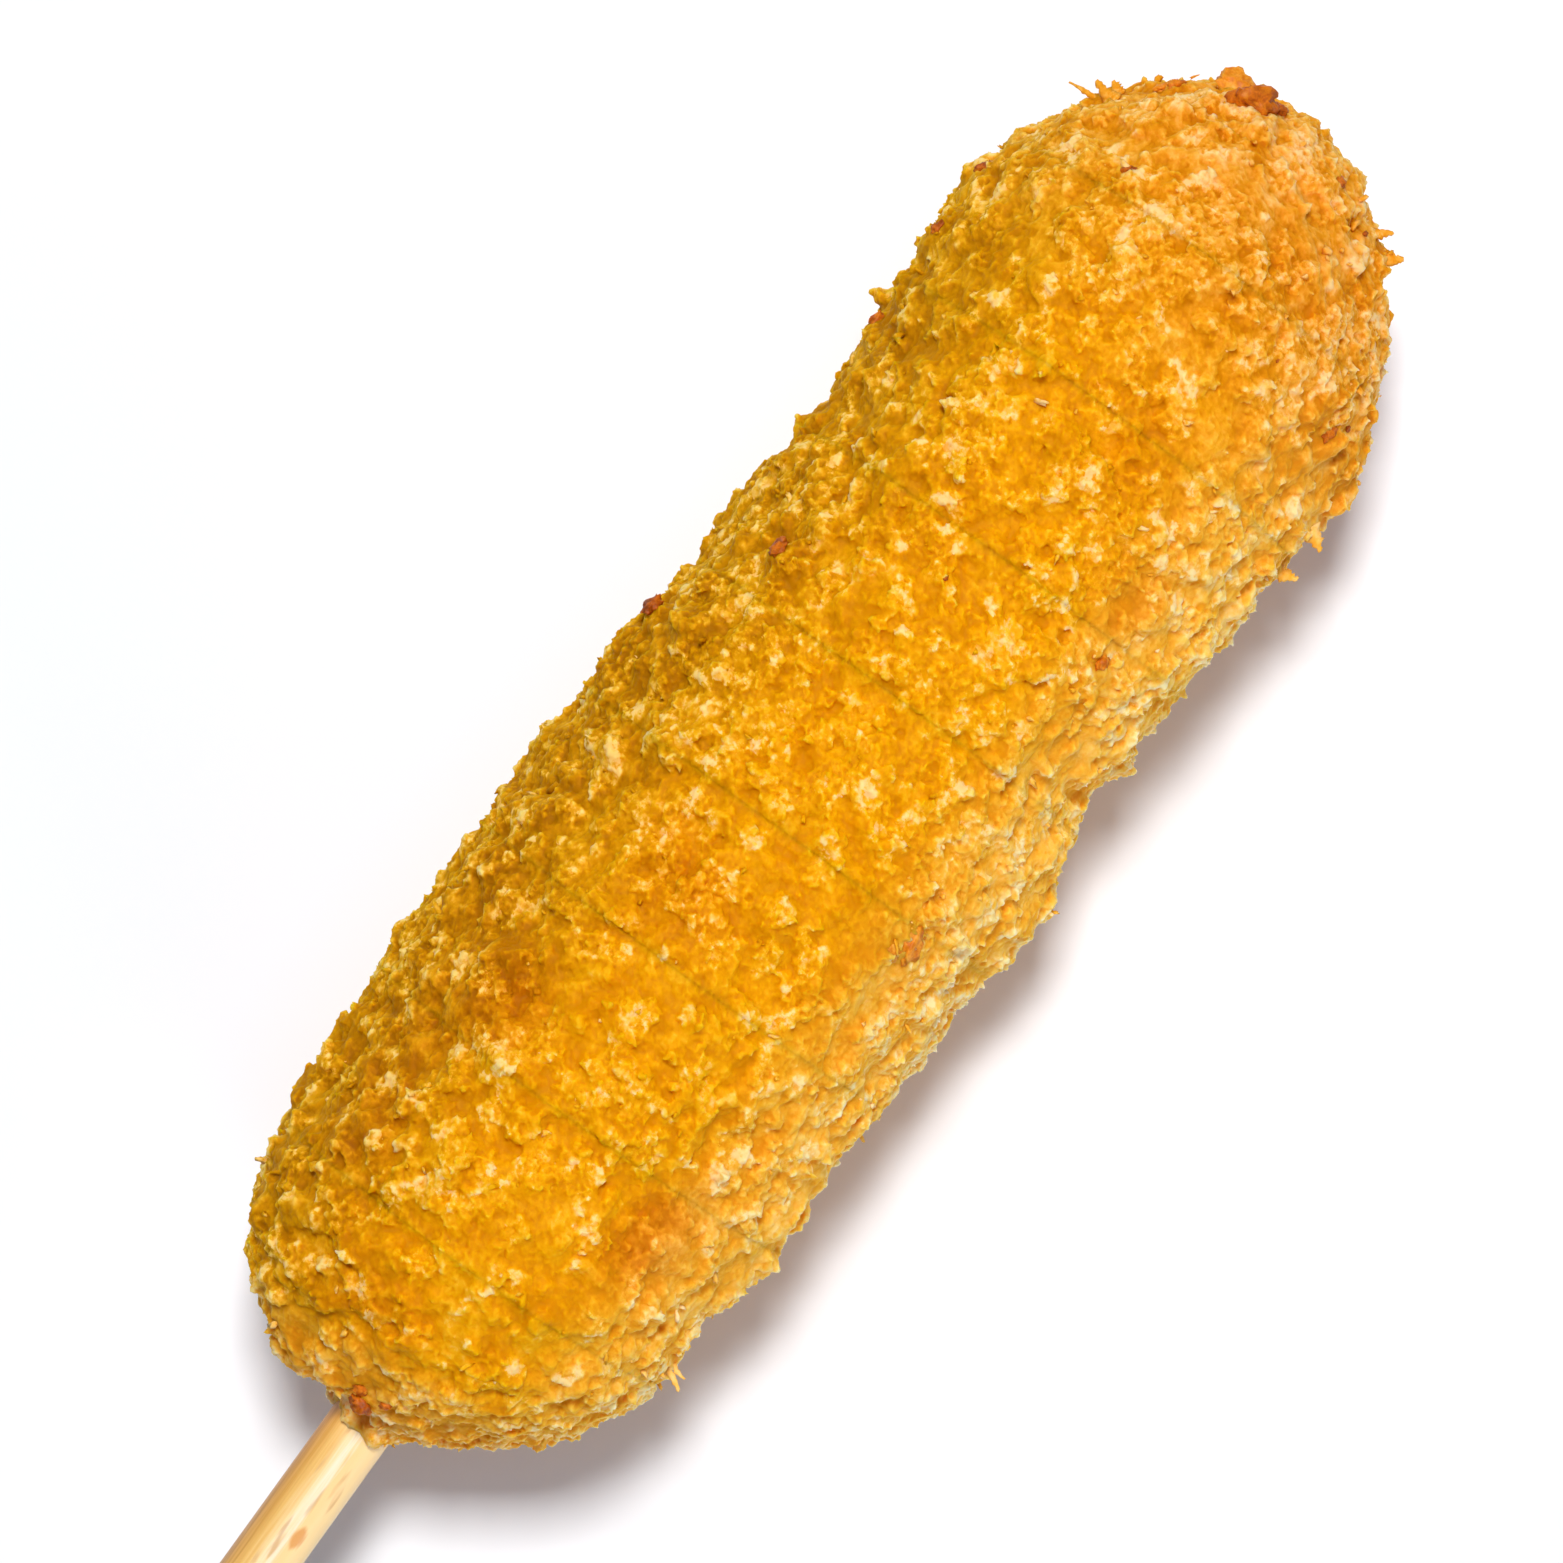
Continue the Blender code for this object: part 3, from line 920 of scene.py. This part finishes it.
def strand(random, layer, along, across, length, thick, towards, bend):
    """A tapering ragged fibre of crumb that stands on the crust and bends sideways as it goes."""
    point, out = spot(layer, along, across)
    way = unit(np.array(towards, float) + out * 0.3)
    aside = unit(np.cross(way, (0, 0, 1.0)))
    over = np.cross(way, aside)
    rings, sides = 12, 7
    corners = []
    for ring in range(rings):
        share = ring / (rings - 1)
        middle = point + way * (share * length - 0.3) * MM + aside * bend * share**2 * length * MM
        radius = thick / 2 * (1 - 0.75 * share**1.5) * (0.75 + 0.5 * random.random()) * MM
        for side in range(sides):
            angle = 2 * math.pi * side / sides
            reach = radius * (0.7 + 0.6 * random.random())
            corners.append(middle + (aside * math.cos(angle) + over * math.sin(angle) * 0.6) * reach)
    faces = []
    for ring in range(rings - 1):
        for side in range(sides):
            a, b = ring * sides + side, ring * sides + (side + 1) % sides
            faces += [(a, b, b + sides), (a, b + sides, a + sides)]
    last = (rings - 1) * sides
    faces += [(0, side + 1, side) for side in range(1, sides - 1)]
    faces += [(last, last + side, last + side + 1) for side in range(1, sides - 1)]
    return np.array(corners)[None], np.array(faces)


def crumb_strands(random, layer, material):
    """The fibres and flakes that stand out from the crust's edge."""
    lots = [strand(random, layer, *each) for each in STRANDS]
    mesh = joined_mesh("crumb_strands", lots)
    spots = positions(mesh)
    level = np.full(len(spots), 0.15)
    set_values(mesh, crest=level, rise=level, tone=level + 0.4, crumb=level + 0.5, knot=level + 0.6, **browning(spots))
    mesh.shade_smooth()
    return add_piece("crumb_strands", mesh, material)


# ---------------------------------------------------------------- the stick


def bamboo_rod(material):
    """The stick: a turned rod with eased ends and shallow lengthwise fibres."""
    length = STICK_HIGH.x - STICK_LOW.x
    ease = 0.4 * MM
    sides = 72
    rings = 60
    outline = [(0.0, 0.0), (0.0, STICK_RADIUS * 0.55), (0.0, STICK_RADIUS - ease), (ease, STICK_RADIUS)]
    outline += [(length * i / rings, STICK_RADIUS) for i in range(1, rings)]
    outline += [(length - x, radius) for x, radius in reversed(outline[:4])]
    shape = bmesh.new()
    corners = [shape.verts.new((STICK_LOW.x + x, AXIS_Y, AXIS_Z + radius)) for x, radius in outline]
    edges = [shape.edges.new(pair) for pair in zip(corners, corners[1:])]
    bmesh.ops.spin(
        shape,
        geom=corners + edges,
        cent=(0, AXIS_Y, AXIS_Z),
        axis=(1, 0, 0),
        angle=2 * math.pi,
        steps=sides,
        use_merge=True,
    )
    bmesh.ops.remove_doubles(shape, verts=shape.verts, dist=1e-6)
    bmesh.ops.recalc_face_normals(shape, faces=shape.faces)
    for corner in shape.verts:
        out = Vector((0, corner.co.y - AXIS_Y, corner.co.z - AXIS_Z))
        if out.length > STICK_RADIUS * 0.9:
            way = out.normalized()
            fibre = noise.noise(Vector((corner.co.x / (30 * MM), way.y * 9, way.z * 9)))
            bulge = noise.noise(Vector((corner.co.x / (25 * MM), way.y * 1.2, way.z * 1.2)))
            corner.co += way * (0.05 * fibre + 0.06 * bulge) * MM
    mesh = bpy.data.meshes.new("bamboo_rod")
    shape.to_mesh(mesh)
    shape.free()
    mesh.shade_smooth()
    mesh.set_sharp_from_angle(angle=math.radians(50))
    return add_piece("bamboo_rod", mesh, material, "bamboo_stick")


# ---------------------------------------------------------------- the studio


def floor():
    shape = bmesh.new()
    bmesh.ops.create_grid(shape, x_segments=1, y_segments=1, size=1.5)
    mesh = bpy.data.meshes.new("studio_floor")
    shape.to_mesh(mesh)
    shape.free()
    mesh.materials.append(floor_material())
    ground = bpy.data.objects.new("studio_floor", mesh)
    bpy.context.scene.collection.objects.link(ground)


def area_light(name, towards, distance, size, power, colour=(1, 1, 1)):
    """A square soft light that shines at the food from a direction, given from the food."""
    light = bpy.data.lights.new(name, "AREA")
    light.size = size
    light.energy = power
    light.color = colour
    lamp = bpy.data.objects.new(name, light)
    bpy.context.scene.collection.objects.link(lamp)
    way = Vector(towards).normalized()
    middle = Vector((NECK_X + 62 * MM, AXIS_Y, AXIS_Z))
    lamp.location = middle + way * distance
    lamp.rotation_euler = way.to_track_quat("Z", "Y").to_euler()


def view_from_above():
    """The camera, straight above, turned so that the tip points up to the right."""
    lens = 150.0
    sensor = 36.0
    width = 126.4 * MM  # of what the frame shows at the height of the stick
    distance = width * lens / sensor
    camera_data = bpy.data.cameras.new("camera")
    camera_data.lens = lens
    camera_data.sensor_width = sensor
    camera_data.clip_start = 0.01
    camera_data.clip_end = 20.0
    camera = bpy.data.objects.new("camera", camera_data)
    bpy.context.scene.collection.objects.link(camera)
    camera.location = (NECK_X + 60.9 * MM, AXIS_Y + 2.85 * MM, AXIS_Z + distance)
    camera.rotation_euler = (0, 0, math.radians(-54.2))
    bpy.context.scene.camera = camera


def studio():
    world = bpy.data.worlds.new("studio")
    world.use_nodes = True
    world.node_tree.nodes["Background"].inputs["Color"].default_value = (0.76, 0.97, 1.32, 1.0)
    world.node_tree.nodes["Background"].inputs["Strength"].default_value = 0.14
    bpy.context.scene.world = world
    bpy.context.scene.view_settings.view_transform = "Standard"
    area_light("key", (0.25, 0.19, 1.0), 0.9, 0.18, 8.0)
    area_light("top", (0.0, 0.0, 1.0), 1.1, 0.9, 1.1, (0.92, 1.0, 1.16))
    area_light("side", (-0.4, -0.95, 0.24), 0.9, 0.40, 2.5, (0.98, 1.0, 1.10))


random = np.random.default_rng(17)
layer = crust(random, Ground(smooth_bed()), crumb_material("toasted_crumb", 0.9))
loose_crumb = crumb_material("loose_crumb", 0.12)
crumb_cover(random, layer, loose_crumb)
browned_crumbs(random, layer)
crumb_strands(random, layer, loose_crumb)
bamboo_rod(bamboo_material())
floor()
studio()
view_from_above()
